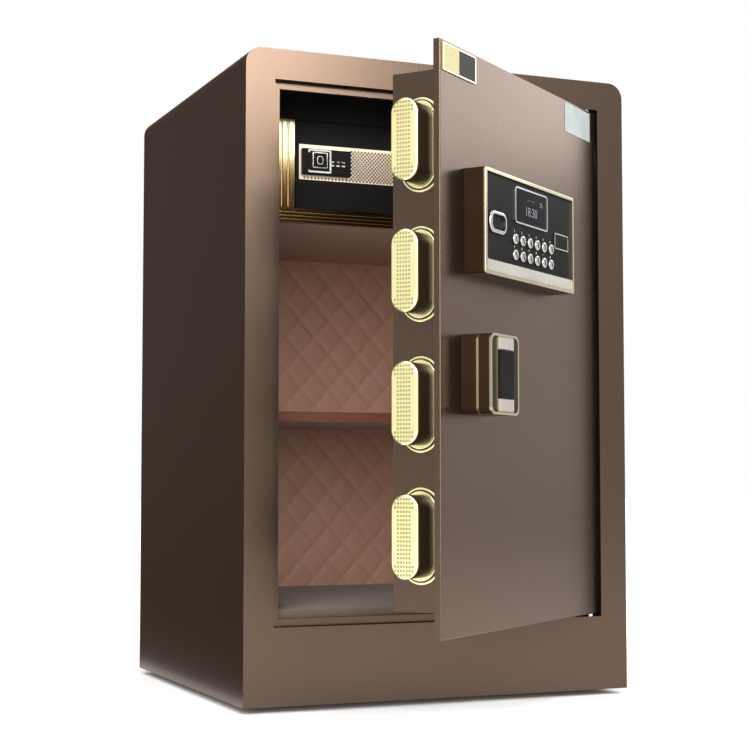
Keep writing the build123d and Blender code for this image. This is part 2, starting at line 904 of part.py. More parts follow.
def panel_frame():
    top = panel_depth + panel_frame_proud
    frame = face_plate(*panel_limits(0), -top, -panel_depth, panel_corner)
    frame = fillet(frame.faces().sort_by(Axis.Y)[0].edges(), panel_frame_edge)
    e0, e1, z0, z1 = panel_limits(panel_frame_width)
    frame -= door_block(e0, e1, -top, -panel_depth, z0, z1)
    return frame


def key_centres():
    """Centres of the keys from the free edge and their heights, row by row from the top."""
    centres = []
    for row in range(key_rows):
        for column in range(key_columns):
            edge = key_first_from_edge + column * key_pitch_across
            centres.append((edge, key_top_row_z - row * key_pitch_down))
    return centres


def panel_fascia():
    e0, e1, z0, z1 = panel_limits(panel_wall - panel_ledge + seat_fit)
    back = panel_depth - fascia_thickness
    fascia = door_block(e0, e1, -panel_depth, -back, z0, z1)
    for edge, z in key_centres():
        fascia -= along_y(door_left + edge, z, -panel_depth, -back, key_radius + running_fit)
    return fascia


def key_cap(edge, z):
    x = door_left + edge
    back = panel_depth - fascia_thickness
    flange_top = back - soft_gap
    stem_top = panel_depth + key_stem_front
    key = along_y(x, z, -flange_top, -(flange_top - key_flange), key_flange_radius)
    key += along_y(x, z, -(stem_top + key_dome), -flange_top, key_radius)
    return fillet(key.faces().sort_by(Axis.Y)[0].edges(), key_dome)


def keypad_board():
    back = panel_depth - fascia_thickness
    e0, e1, z0, z1 = panel_limits(board_margin)
    low = panel_floor + board_post_height
    board = door_block(e0, e1, -(low + board_thickness), -low, z0, z1)
    inset = 2 * board_post_radius
    for edge in (e0 + inset, e1 - inset):
        for z in (z0 + inset, z1 - inset):
            board += along_y(door_left + edge, z, -low, -panel_floor, board_post_radius)
    return board


def display_bezel():
    e0 = display_from_edge
    e1 = display_from_edge + display_width
    z0 = display_bottom
    z1 = display_bottom + display_height
    top = panel_depth + display_proud
    bezel = face_plate(e0, e1, z0, z1, -top, -panel_depth, display_corner)
    rim = display_rim
    bezel -= face_plate(
        e0 + rim, e1 - rim, z0 + rim, z1 - rim, -top, -panel_depth, display_corner - rim)
    return bezel


def display_window():
    rim = display_rim + seat_fit
    e0 = display_from_edge + rim
    e1 = display_from_edge + display_width - rim
    z0 = display_bottom + rim
    z1 = display_bottom + display_height - rim
    top = panel_depth + glass_proud
    return face_plate(e0, e1, z0, z1, -top, -panel_depth, display_corner - rim)


def reader_plate(inset, proud):
    """Oval plate of the finger reader."""
    width = reader_width - 2 * inset
    height = reader_height - 2 * inset
    outline = RectangleRounded(width, height, reader_corner - inset)
    plate = extrude(outline, proud)
    x = door_left + reader_centre_from_edge
    return Pos(x, front_y - panel_depth, reader_centre_z) * Rot(90, 0, 0) * plate


def reader_ring():
    ring = reader_plate(0, reader_proud)
    ring = fillet(ring.faces().sort_by(Axis.Y)[0].edges(), reader_rim / 2)
    return ring - reader_plate(reader_rim, reader_proud)


def reader_sensor():
    return reader_plate(reader_rim + seat_fit, glass_proud)


def ribbed_strip():
    e0, e1, z0, z1 = panel_limits(panel_frame_width + seat_fit)
    top = panel_depth + strip_proud
    strip = door_block(e0, e1, -top, -panel_depth, z0, z0 + strip_height)
    count = int((e1 - e0) / strip_rib_pitch)
    grooves = []
    for groove in range(1, count):
        x = door_left + e0 + groove * strip_rib_pitch
        grooves.append(post(x, front_y - top, z0, z0 + strip_height, strip_proud / 3))
    strip -= grooves
    return strip


def panel_badge():
    e0 = badge_from_edge
    e1 = badge_from_edge + badge_width
    z0 = badge_bottom
    z1 = badge_bottom + badge_height
    top = panel_depth + badge_proud
    badge = door_block(e0, e1, -top, -panel_depth, z0, z1)
    badge -= door_block(
        e0 + badge_rim, e1 - badge_rim, -top, -(panel_depth + badge_proud / 2),
        z0 + badge_rim, z1 - badge_rim)
    return badge


def name_plate():
    return door_block(
        name_plate_from_edge, name_plate_from_edge + name_plate_width,
        -name_plate_thickness, 0, name_plate_top - name_plate_height, name_plate_top)


def blank_label():
    return door_block(
        label_from_edge, label_from_edge + label_width, -label_thickness, 0,
        label_top - label_height, label_top)


cabinet_nodes = {
    "cabinet_shell": cabinet_shell,
    "back_plate": back_plate,
    "front_frame": front_frame,
    "hinge_sockets": hinge_sockets,
    "feet": feet,
    "floor_deck": floor_deck,
    "lining_floor": floor_lining_pad,
    "lining_back": lining_back,
    "lining_sides": lining_sides,
    "lining_top": lining_top,
    "shelf": shelf,
    "shelf_edge": shelf_edge,
    "shelf_pegs": shelf_pegs,
    "inner_box": inner_box,
    "inner_frame": inner_frame,
    "top_fascia": top_fascia,
    "inner_door_panel": inner_door_panel,
    "inner_door_pin": inner_door_pin,
    "inner_door_strip": inner_door_strip,
    "inner_lock": inner_lock,
}

door_nodes = {
    "door_plate": door_plate,
    "door_box": door_box,
    "box_cover": box_cover,
    "cover_screws": cover_screws,
    "hinge_blocks": hinge_blocks,
    "bolt_collars": bolt_collars,
    "bolt_guides": bolt_guides,
    "lock_bolts": lock_bolts,
    "bolt_caps": bolt_caps,
    "bolt_carrier": bolt_carrier,
    "handle_spindle": handle_spindle,
    "handle_bush": handle_bush,
    "handle_body": handle_body,
    "handle_bands": handle_bands,
    "handle_pads": handle_pads,
    "handle_window": handle_window,
    "panel_housing": panel_housing,
    "panel_frame": panel_frame,
    "panel_fascia": panel_fascia,
    "keypad_board": keypad_board,
    "display_bezel": display_bezel,
    "display_window": display_window,
    "reader_ring": reader_ring,
    "reader_sensor": reader_sensor,
    "ribbed_strip": ribbed_strip,
    "panel_badge": panel_badge,
    "name_plate": name_plate,
    "blank_label": blank_label,
}

os.makedirs("parts", exist_ok=True)
for node, make in cabinet_nodes.items():
    save(node, make())
for node, make in door_nodes.items():
    save(node, swing(make()))
for number, (edge, z) in enumerate(key_centres(), start=1):
    save("key_" + str(number), swing(key_cap(edge, z)))
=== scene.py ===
import json
import math

import bmesh
import bpy
from mathutils import Matrix, Vector


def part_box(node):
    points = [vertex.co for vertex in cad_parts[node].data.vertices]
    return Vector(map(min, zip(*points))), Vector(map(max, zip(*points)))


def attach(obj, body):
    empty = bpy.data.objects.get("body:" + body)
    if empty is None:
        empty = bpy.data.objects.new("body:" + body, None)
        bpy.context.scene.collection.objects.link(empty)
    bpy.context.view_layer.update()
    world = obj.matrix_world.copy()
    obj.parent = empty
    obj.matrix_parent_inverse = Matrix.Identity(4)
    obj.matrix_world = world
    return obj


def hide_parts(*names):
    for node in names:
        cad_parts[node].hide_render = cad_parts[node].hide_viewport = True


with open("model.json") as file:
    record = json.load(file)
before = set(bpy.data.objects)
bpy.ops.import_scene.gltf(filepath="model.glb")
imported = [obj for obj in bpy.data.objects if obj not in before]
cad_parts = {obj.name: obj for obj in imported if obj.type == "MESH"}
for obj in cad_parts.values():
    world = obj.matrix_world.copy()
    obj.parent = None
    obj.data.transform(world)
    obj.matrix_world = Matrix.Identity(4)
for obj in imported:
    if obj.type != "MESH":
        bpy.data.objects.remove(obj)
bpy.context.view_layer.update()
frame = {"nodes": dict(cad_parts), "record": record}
nodes = frame["nodes"]
record = frame["record"]

# metres and degrees; the door is drawn shut and swung to rest about its hinge pin
door = {"angle": 37.5, "hingeX": 0.159, "hingeY": -0.172, "freeEdge": -0.165, "face": -0.178}
doorPin = Matrix.Translation((door["hingeX"], door["hingeY"], 0))
doorPlace = (doorPin @ Matrix.Rotation(math.radians(door["angle"]), 4, "Z") @ doorPin.inverted()
             @ Matrix.Translation((door["freeEdge"], door["face"], 0)))
upright = Matrix.Rotation(math.radians(90), 4, "X")  # flat XY shapes stand up and face -Y


# from the free edge, above the floor, proud of the door's face
def onDoor(edge, height, proud=0.0):
    return doorPlace @ Matrix.Translation((edge, -proud, height)) @ upright


# on the end face of a bolt, or on the narrow side of the door box, facing the free edge
def onDoorEdge(edge, depth, height):
    return (doorPlace @ Matrix.Translation((edge, depth, height))
            @ Matrix.Rotation(math.radians(-90), 4, "Z") @ upright)


def inCabinet(x, y, z):
    return Matrix.Translation((x, y, z)) @ upright


# node helpers
def newMaterial(name):
    mat = bpy.data.materials.new(name)
    mat.use_nodes = True
    return mat, mat.node_tree, mat.node_tree.nodes["Principled BSDF"]


def addNode(tree, kind, **values):
    node = tree.nodes.new(kind)
    for key, value in values.items():
        setattr(node, key, value)
    return node


def objectCoords(tree, scale=(1, 1, 1)):
    coord = addNode(tree, "ShaderNodeTexCoord")
    mapping = addNode(tree, "ShaderNodeMapping")
    mapping.inputs["Scale"].default_value = scale
    tree.links.new(coord.outputs["Object"], mapping.inputs["Vector"])
    return mapping.outputs["Vector"]


def splitCoords(tree):
    split = addNode(tree, "ShaderNodeSeparateXYZ")
    tree.links.new(objectCoords(tree), split.inputs[0])
    return split.outputs


def mixColours(tree, factor, first, second):
    mix = addNode(tree, "ShaderNodeMix", data_type="RGBA")
    tree.links.new(factor, mix.inputs[0])
    for socket, value in ((mix.inputs[6], first), (mix.inputs[7], second)):
        if hasattr(value, "is_linked"):
            tree.links.new(value, socket)
        else:
            socket.default_value = (*value, 1)
    return mix.outputs[2]


def remap(tree, value, low, high, outLow=0.0, outHigh=1.0):
    node = addNode(tree, "ShaderNodeMapRange")
    tree.links.new(value, node.inputs[0])
    for index, number in enumerate((low, high, outLow, outHigh)):
        node.inputs[index + 1].default_value = number
    return node.outputs[0]


def bumpFrom(tree, shader, height, strength, distance):
    bump = addNode(tree, "ShaderNodeBump")
    bump.inputs["Strength"].default_value = strength
    bump.inputs["Distance"].default_value = distance
    tree.links.new(height, bump.inputs["Height"])
    tree.links.new(bump.outputs["Normal"], shader.inputs["Normal"])


def noiseValue(tree, vector, scale, detail=3.0):
    noise = addNode(tree, "ShaderNodeTexNoise")
    noise.inputs["Scale"].default_value = scale
    noise.inputs["Detail"].default_value = detail
    tree.links.new(vector, noise.inputs["Vector"])
    return noise.outputs["Fac"]


# the stretch of a noise that a finish uses, and the depth of its bumps
noiseSpan = {"patch": (0.3, 0.7), "grain": (0.25, 0.75), "brushed": (0.2, 0.8)}
brushed = {"stretch": (1, 1, 0.1), "grain": 900}
grainDepth = 0.0004


# paints, metals and plastics: slow colour patches, fine grain in the gloss and the bump
def grained(name, colour, darker, rough, metal=0.0, grain=900.0, bump=0.05, stretch=(1, 1, 1),
            patch=14.0, spread=0.04, specular=0.5, edgeTint=(1, 1, 1)):
    mat, tree, shader = newMaterial(name)
    slow = noiseValue(tree, objectCoords(tree), patch)
    fine = noiseValue(tree, objectCoords(tree, stretch), grain)
    tree.links.new(mixColours(tree, remap(tree, slow, *noiseSpan["patch"]), colour, darker),
                   shader.inputs["Base Color"])
    tree.links.new(remap(tree, fine, *noiseSpan["grain"], rough - spread, rough + spread),
                   shader.inputs["Roughness"])
    shader.inputs["Metallic"].default_value = metal
    shader.inputs["Specular IOR Level"].default_value = specular
    shader.inputs["Specular Tint"].default_value = (*edgeTint, 1)
    bumpFrom(tree, shader, fine, bump, grainDepth)
    return mat


hide = {"rough": 0.52, "roughCrease": 0.64, "pores": 430.0, "creaseEdge": 0.22, "creaseShadeMix": 0.22,
        "creaseShadeTone": 0.55, "patch": 8, "detail": 5, "sheen": 0.12, "bump": 0.3, "depth": 0.00025}


# leather cloth: pores with rougher creases between them, and painted shade darkening the creases
def leather(name, colour, darker):
    mat, tree, shader = newMaterial(name)
    coords = objectCoords(tree)
    pores = addNode(tree, "ShaderNodeTexVoronoi", feature="DISTANCE_TO_EDGE")
    pores.inputs["Scale"].default_value = hide["pores"]
    tree.links.new(coords, pores.inputs["Vector"])
    crease = remap(tree, pores.outputs["Distance"], 0, hide["creaseEdge"])
    patches = noiseValue(tree, coords, hide["patch"], hide["detail"])
    slow = mixColours(tree, remap(tree, patches, *noiseSpan["patch"]), colour, darker)
    # painted shade: the creases take a darker colour, as if in shadow
    creaseShadeColour = tuple(c * hide["creaseShadeTone"] for c in darker)
    tree.links.new(mixColours(tree, remap(tree, crease, 0, 1, hide["creaseShadeMix"], 0), slow,
                              creaseShadeColour), shader.inputs["Base Color"])
    tree.links.new(remap(tree, crease, 0, 1, hide["roughCrease"], hide["rough"]),
                   shader.inputs["Roughness"])
    shader.inputs["Sheen Weight"].default_value = hide["sheen"]
    bumpFrom(tree, shader, crease, hide["bump"], hide["depth"])
    return mat


print("stage: materials")
paint = grained("bronzePaint", (0.088, 0.060, 0.043), (0.081, 0.055, 0.039), 0.27, metal=0.94,
                grain=1500, bump=0.03, patch=4, spread=0.025, edgeTint=(0.84, 0.80, 0.78))
plainSteel = grained("plainSteel", (0.55, 0.54, 0.53), (0.45, 0.44, 0.43), 0.3, metal=1.0,
                     grain=500, stretch=(1, 1, 0.08))
footRubber = grained("footRubber", (0.02, 0.02, 0.02), (0.03, 0.03, 0.03), 0.8)
paleGold = grained("paleGold", (0.84, 0.70, 0.42), (0.80, 0.65, 0.37), 0.2, metal=1.0,
                   grain=1400, bump=0.012, spread=0.02)
boltGold = grained("boltGold", (0.80, 0.74, 0.40), (0.77, 0.70, 0.36), 0.24, metal=0.92,
                   grain=1400, bump=0.012, spread=0.02)
studGold = grained("studGold", (0.25, 0.23, 0.10), (0.20, 0.18, 0.07), 0.4, metal=0.7)
grooveBrown = grained("grooveBrown", (0.05, 0.035, 0.01), (0.035, 0.024, 0.008), 0.45,
                      specular=0.1)
trimGold = grained("trimGold", (0.36, 0.31, 0.21), (0.29, 0.25, 0.16), 0.22, metal=1.0,
                   grain=1400, bump=0.01, spread=0.02)
darkGloss = grained("darkGloss", (0.017, 0.009, 0.0045), (0.011, 0.006, 0.003), 0.24,
                    grain=900, bump=0.012, specular=0.04)
fasciaBlack = grained("fasciaBlack", (0.006, 0.0055, 0.005), (0.009, 0.0085, 0.008), 0.3,
                      grain=900, bump=0.008, spread=0.03, specular=0.012)
chrome = grained("chromeTrim", (0.36, 0.35, 0.33), (0.28, 0.27, 0.26), 0.22, metal=1.0,
                 grain=900, bump=0.012, spread=0.02)
bushBrass = grained("bushBrass", (0.6, 0.45, 0.2), (0.5, 0.36, 0.15), 0.3, metal=1.0)
boardGreen = grained("boardGreen", (0.02, 0.12, 0.05), (0.01, 0.08, 0.03), 0.45)
blackPlastic = grained("blackPlastic", (0.02, 0.02, 0.02), (0.03, 0.03, 0.03), 0.5)
darkGlass = grained("darkGlass", (0.004, 0.004, 0.0045), (0.008, 0.008, 0.009), 0.12,
                    grain=700, bump=0.004, spread=0.02, specular=0.02)
whiteLabel = grained("whiteLabel", (0.30, 0.31, 0.31), (0.24, 0.26, 0.26), 0.45, grain=1200,
                     bump=0.03, patch=60, specular=0.1)
creamMetal = grained("creamMetal", (0.25, 0.235, 0.205), (0.20, 0.185, 0.16), 0.38, metal=0.2,
                     grain=1200, stretch=(1, 1, 0.1), bump=0.015)
stripCream = grained("stripCream", (0.62, 0.53, 0.39), (0.52, 0.43, 0.31), 0.38, metal=0.35,
                     grain=1200, bump=0.015)
printGrey = grained("printGrey", (0.45, 0.45, 0.44), (0.36, 0.36, 0.35), 0.5)
tanLeather = leather("tanLeather", (0.40, 0.235, 0.165), (0.34, 0.195, 0.135))
floorLeather = leather("floorLeather", (0.085, 0.045, 0.027), (0.065, 0.035, 0.02))
quiltLeather = leather("quiltLeather", (0.53, 0.29, 0.205), (0.45, 0.24, 0.165))
redLeather = leather("redLeather", (0.13, 0.032, 0.010), (0.10, 0.025, 0.008))


latticeDark = grained("latticeDark", (0.075, 0.045, 0.028), (0.05, 0.03, 0.018), 0.4)
screenGrey = grained("screenGrey", (0.06, 0.065, 0.075), (0.045, 0.05, 0.06), 0.4)

# from the door's free edge and the floor; the lift is how far its rim stands off its face
plate = {"edge": (0.004, 0.064), "height": (0.5435, 0.5665), "proud": 0.001, "rim": 0.0009,
         "corner": 0.0, "lift": 0.0003, "gold": (0.34, 0.30, 0.16), "goldDark": (0.27, 0.23, 0.11),
         "black": (0.012, 0.010, 0.009), "seam": 0.0002, "metal": 0.12, "gloss": (0.16, 0.26),
         "specular": 0.02}


# plate at the door's top corner: gold on its left half, black on its right half
def twoTonePlate(name):
    mat, tree, shader = newMaterial(name)
    middle = (doorPlace @ Vector((sum(plate["edge"]) / 2, 0, 0))).x
    half = remap(tree, splitCoords(tree)["X"], middle - plate["seam"], middle + plate["seam"])
    fine = noiseValue(tree, objectCoords(tree, brushed["stretch"]), brushed["grain"])
    gold = mixColours(tree, fine, plate["gold"], plate["goldDark"])
    tree.links.new(mixColours(tree, half, gold, plate["black"]), shader.inputs["Base Color"])
    tree.links.new(remap(tree, half, 0, 1, plate["metal"], 0.0), shader.inputs["Metallic"])
    tree.links.new(remap(tree, fine, *noiseSpan["brushed"], *plate["gloss"]),
                   shader.inputs["Roughness"])
    shader.inputs["Specular IOR Level"].default_value = plate["specular"]
    return mat


# painted light and shade on the inner frame: lighter gold above, deeper brown gold below
paintedShadeRamp = {"deepBelow": 0.492, "lightAbove": 0.522, "light": (0.34, 0.30, 0.17),
            "lightDark": (0.28, 0.24, 0.13), "deep": (0.29, 0.185, 0.075),
            "deepDark": (0.22, 0.14, 0.055), "gloss": (0.15, 0.24)}


# painted light and shade: polished gold painted above and a deeper brown gold painted below,
# darker towards the bottom
def paintedShadeGold(name):
    mat, tree, shader = newMaterial(name)
    rise = remap(tree, splitCoords(tree)["Z"], paintedShadeRamp["deepBelow"], paintedShadeRamp["lightAbove"])
    fine = noiseValue(tree, objectCoords(tree, brushed["stretch"]), brushed["grain"])
    light = mixColours(tree, fine, paintedShadeRamp["light"], paintedShadeRamp["lightDark"])
    deep = mixColours(tree, fine, paintedShadeRamp["deep"], paintedShadeRamp["deepDark"])
    tree.links.new(mixColours(tree, rise, deep, light), shader.inputs["Base Color"])
    tree.links.new(remap(tree, fine, *noiseSpan["brushed"], *paintedShadeRamp["gloss"]),
                   shader.inputs["Roughness"])
    shader.inputs["Metallic"].default_value = 1.0
    return mat


finishes = {
    "bronze_paint": paint, "plain_steel": plainSteel, "foot_rubber": footRubber,
    "tan_leather": tanLeather, "quilted_leather": quiltLeather, "red_brown_leather": redLeather,
    "pale_gold": trimGold, "black_gloss": fasciaBlack, "dark_gloss": darkGloss,
    "black_plastic": blackPlastic, "bush_brass": bushBrass, "board_green": boardGreen,
    "chrome_trim": chrome, "dark_glass": darkGlass, "white_label": whiteLabel,
    "bolt_gold": boltGold,
}
# nodes that differ from the rest of their slot
ownFinish = {
    "name_plate": twoTonePlate("namePlateTones"), "lining_floor": floorLeather,
    "inner_frame": paintedShadeGold("innerGoldPaintedShade"), "inner_door_strip": stripCream,
    "handle_pads": creamMetal, "ribbed_strip": creamMetal, "panel_badge": fasciaBlack,
    "bolt_collars": boltGold,
}
for part in record["subparts"]:
    node = nodes[part["node"]]
    node.data.materials.clear()
    node.data.materials.append(ownFinish.get(part["node"], finishes[part["material_slot"]]))


# bmesh helpers: flat shapes in XY that grow along +Z, then a matrix puts them in place
def finishPiece(bm, name, material, body, replaces=(), smooth=False):
    bmesh.ops.recalc_face_normals(bm, faces=bm.faces)
    mesh = bpy.data.meshes.new(name)
    bm.to_mesh(mesh)
    bm.free()
    mesh.materials.append(material)
    if smooth:
        mesh.polygons.foreach_set("use_smooth", [True] * len(mesh.polygons))
    piece = bpy.data.objects.new(name, mesh)
    bpy.context.scene.collection.objects.link(piece)
    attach(piece, body)
    if replaces:
        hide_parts(*replaces)
    return piece


def stadiumFace(bm, width, height, segments=40):
    turn = Matrix.Rotation(math.pi / segments, 4, "Z")
    made = bmesh.ops.create_circle(bm, cap_ends=True, radius=width / 2, segments=segments,
                                   matrix=turn)
    verts = made["verts"]
    for sign in (1, -1):
        half = [v for v in verts if v.co.y * sign > 0]
        bmesh.ops.translate(bm, verts=half, vec=(0, sign * (height - width) / 2, 0))
    return next(f for f in verts[0].link_faces if all(v in verts for v in f.verts))


def roundedFace(bm, width, height, corner=0.0, segments=5):
    made = bmesh.ops.create_grid(bm, x_segments=1, y_segments=1, size=0.5)
    bmesh.ops.scale(bm, verts=made["verts"], vec=(width, height, 1))
    if not corner:
        return made["verts"][0].link_faces[0]
    cut = bmesh.ops.bevel(bm, geom=made["verts"], offset=corner, offset_type="OFFSET",
                          segments=segments, profile=0.5, affect="VERTICES", material=-1)
    return cut["faces"][0] if cut["faces"] else cut["verts"][0].link_faces[0]


# lifts a flat face into a slab, or only its rim of the given width into a ring
def grow(bm, face, height, place, rim=0.0):
    faces = [face]
    if rim:
        faces = bmesh.ops.inset_region(bm, faces=[face], thickness=rim,
                                       use_even_offset=True, use_boundary=True)["faces"]
        bmesh.ops.delete(bm, geom=[face], context="FACES")
    flat = {v for f in faces for v in f.verts}
    made = bmesh.ops.extrude_face_region(bm, geom=faces, use_keep_orig=True)
    top = [g for g in made["geom"] if isinstance(g, bmesh.types.BMVert)]
    bmesh.ops.translate(bm, verts=top, vec=(0, 0, height))
    bmesh.ops.transform(bm, matrix=place, verts=list(flat | set(top)))


print("stage: quilted lining")
quilt = {"wide": 0.0345, "tall": 0.0385, "puff": 0.0016, "pair": 0.0013, "stitch": 0.000495,
         "dip": 0.9, "valley": 0.55, "slope": 0.006, "step": 0.0014, "depth": 0.0022,
         "edge": 0.004, "shift": 0.33, "fill": 0.8}


# flat embossed diamonds between pairs of stitched lines
def quiltHeight(x, z):
    u, v = x / quilt["wide"], (z - quilt["shift"]) / quilt["tall"]
    scale = 1 / math.hypot(1 / quilt["wide"], 1 / quilt["tall"])
    total, lift = 1.0, 1.0
    for value in (u + v, u - v):
        away = abs(value - round(value)) * scale
        total *= 1 - quilt["dip"] * math.exp(-((away - quilt["pair"]) / quilt["stitch"]) ** 2)
        lift *= min(1.0, quilt["valley"] + away / quilt["slope"] * (1 - quilt["valley"]))
    return quilt["puff"] * total * lift


def quiltPanel():
    low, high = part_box("lining_back")
    bm = bmesh.new()
    columns = round((high.x - low.x) / quilt["step"])
    rows = round((high.z - low.z) / quilt["step"])
    bmesh.ops.create_grid(bm, x_segments=columns, y_segments=rows, size=0.5)
    bmesh.ops.scale(bm, verts=bm.verts, vec=(high.x - low.x, high.z - low.z, 1))
    middle = (low + high) / 2
    bmesh.ops.transform(bm, verts=bm.verts,
                        matrix=inCabinet(middle.x, low.y + quilt["depth"], middle.z))
    rim = [e for e in bm.edges if e.is_boundary]
    for vert in bm.verts:
        x, z = vert.co.x, vert.co.z
        edge = min(x - low.x, high.x - x, z - low.z, high.z - z)
        vert.co.y -= quiltHeight(x, z) * min(edge / quilt["edge"], 1)
    made = bmesh.ops.extrude_edge_only(bm, edges=rim)
    back = [g for g in made["geom"] if isinstance(g, bmesh.types.BMVert)]
    for vert in back:
        vert.co.y = high.y
    bmesh.ops.contextual_create(bm, geom=[g for g in made["geom"]
                                          if isinstance(g, bmesh.types.BMEdge)])
    return finishPiece(bm, "quiltedLining", quiltLeather, "cabinet",
                       ["lining_back"], smooth=True)


quiltPanel()

print("stage: bolts")
bolts = {"count": 4, "pitch": 0.1083, "width": 0.0245, "height": 0.068, "depth": 0.0285,
         "tip": -0.010, "boxSide": 0.020}
studs = {"across": 0.00265, "up": 0.0034, "radius": 0.0012, "proud": 0.00035, "column": 0.0056,
         "margin": 0.0019, "sides": 8, "taper": 0.55}
collar = {"rim": 0.003, "step": 0.0016, "groove": 0.0013, "lift": 0.0003}
capLow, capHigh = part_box("bolt_caps")
boltHeights = [(capLow.z + capHigh.z) / 2 + bolts["pitch"] * (n - (bolts["count"] - 1) / 2)
               for n in range(bolts["count"])]


def boltStuds():
    bm = bmesh.new()
    straight = (bolts["height"] - bolts["width"]) / 2
    rows = int(bolts["height"] / 2 / studs["up"])
    columns = int(bolts["width"] / 2 / studs["across"])
    for height in boltHeights:
        face = onDoorEdge(bolts["tip"], bolts["depth"], height)
        for row in range(-rows, rows + 1):
            for column in range(-columns, columns + 1):
                x, y = column * studs["across"], row * studs["up"]
                beyond = max(abs(y) - straight, 0)
                if math.hypot(x, beyond) > bolts["width"] / 2 - studs["margin"]:
                    continue
                if not beyond and abs(x) > studs["column"]:
                    continue
                bmesh.ops.create_cone(
                    bm, cap_ends=True, segments=studs["sides"], radius1=studs["radius"],
                    radius2=studs["radius"] * studs["taper"], depth=studs["proud"],
                    matrix=face @ Matrix.Translation((x, y, studs["proud"] / 2)))
    return finishPiece(bm, "boltStuds", studGold, "bolts")


def collarGrooves():
    bm = bmesh.new()
    around = 2 * (collar["rim"] + collar["groove"])
    width, height = bolts["width"] + around, bolts["height"] + around
    for z in boltHeights:
        grow(bm, stadiumFace(bm, width, height), collar["lift"],
             onDoorEdge(bolts["boxSide"] - collar["step"], bolts["depth"], z),
             rim=collar["groove"])
    return finishPiece(bm, "collarGrooves", grooveBrown, "door")


boltStuds()
collarGrooves()

print("stage: inner door")
lattice = {"wide": 0.0036, "tall": 0.0038, "fill": 0.8, "proud": 0.00025, "taper": 0.8,
           "endGap": 0.001, "moduleGap": 0.0015, "plainTop": 0.0035}
lockModule = {"left": -0.1155, "right": -0.066, "low": 0.5005, "high": 0.5255}


def latticeDiamonds():
    bm = bmesh.new()
    low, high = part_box("inner_door_strip")
    rows = int((high.z - low.z) / lattice["tall"] * 2)
    columns = int((high.x - low.x) / lattice["wide"])
    shape = Matrix.Diagonal((lattice["wide"] / 2 * lattice["fill"],
                             lattice["tall"] / 2 * lattice["fill"], 1, 1))
    gap = lattice["moduleGap"]
    for row in range(1, rows):
        z = low.z + row * lattice["tall"] / 2
        for column in range(1, columns):
            x = low.x + (column + 0.5 * (row % 2)) * lattice["wide"]
            if x > high.x - lattice["endGap"]:
                continue
            if (lockModule["left"] - gap < x < lockModule["right"] + gap
                    and lockModule["low"] - gap < z < lockModule["high"] + gap):
                continue
            if high.z - lattice["plainTop"] < z and x < lockModule["right"]:
                continue
            bmesh.ops.create_cone(
                bm, cap_ends=True, segments=4, radius1=1, radius2=lattice["taper"],
                depth=lattice["proud"],
                matrix=inCabinet(x, low.y, z) @ Matrix.Translation((0, 0, lattice["proud"] / 2))
                @ shape)
    return finishPiece(bm, "latticeDiamonds", latticeDark, "inner_door")


# centre x, z and size of each; proud is how far the push button stands off the module
button = {"proud": 0.0008, "centre": (-0.0985, 0.5135), "size": (0.0235, 0.0225),
          "corner": 0.0012, "rim": 0.0016, "lift": 0.00056}
icon = {"centre": (-0.0985, 0.5143), "side": 0.0155, "corner": 0.001, "rim": 0.001,
        "lift": 0.0007, "mark": (0.42, 0.56), "markRim": 0.0008, "markLift": 0.0006}
bars = {"across": (-0.0855, -0.0798, -0.0741), "size": (0.0034, 0.0012), "corner": 0.0003,
        "upper": (0.5137, 0.0005), "lower": (0.5102, 0.0004)}


def addBars(bm, face, row):
    height, lift = bars[row]
    for across in bars["across"]:
        grow(bm, roundedFace(bm, *bars["size"], bars["corner"]), lift,
             inCabinet(across, face, height))


def lockTrim():
    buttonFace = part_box("inner_lock")[0].y
    face = buttonFace + button["proud"]
    holder = bmesh.new()
    x, z = button["centre"]
    grow(holder, roundedFace(holder, *button["size"], button["corner"]), button["lift"],
         inCabinet(x, face, z), rim=button["rim"])
    finishPiece(holder, "lockHolder", printGrey, "inner_door")
    trim = bmesh.new()
    x, z = icon["centre"]
    grow(trim, roundedFace(trim, icon["side"], icon["side"], icon["corner"]), icon["lift"],
         inCabinet(x, buttonFace, z), rim=icon["rim"])
    grow(trim, stadiumFace(trim, *(icon["side"] * share for share in icon["mark"])),
         icon["markLift"], inCabinet(x, buttonFace, z), rim=icon["markRim"])
    addBars(trim, face, "upper")
    finishPiece(trim, "lockTrim", chrome, "inner_door")
    lower = bmesh.new()
    addBars(lower, face, "lower")
    finishPiece(lower, "lockBars", printGrey, "inner_door")


latticeDiamonds()
lockTrim()

print("stage: control panel")
panel = {"fasciaProud": 0.018, "glassProud": 0.0188, "ink": 0.00006}
keys = {"labels": "1234567890*#", "labelSize": 0.0031, "labelUp": 0.0068, "columns": 6,
        "edge": 0.1037, "height": 0.4147, "across": 0.01507, "down": 0.0138}
# text, size, across and up from the screen's centre
screen = {"centre": (0.137, 0.445), "lines": (("18:30", 0.0115, 0, -0.0035),
                                              ("- - - - -", 0.005, 0, 0.0075),
                                              ("25", 0.006, 0.021, 0.006))}


def addText(bm, text, size, place):
    curve = bpy.data.curves.new("text", "FONT")
    curve.body = text
    curve.size = size
    curve.align_x = "CENTER"
    curve.align_y = "CENTER"
    curve.extrude = panel["ink"]
    holder = bpy.data.objects.new("text", curve)
    bpy.context.scene.collection.objects.link(holder)
    bpy.context.view_layer.update()
    mesh = bpy.data.meshes.new_from_object(
        holder.evaluated_get(bpy.context.evaluated_depsgraph_get()))
    mesh.transform(place)
    bm.from_mesh(mesh)
    bpy.data.objects.remove(holder)
    bpy.data.meshes.remove(mesh)
    bmesh.ops.remove_doubles(bm, verts=bm.verts, dist=1e-6)


def atKey(index, up, proud):
    row, column = divmod(index, keys["columns"])
    return onDoor(keys["edge"] + column * keys["across"],
                  keys["height"] - row * keys["down"] + up, proud)


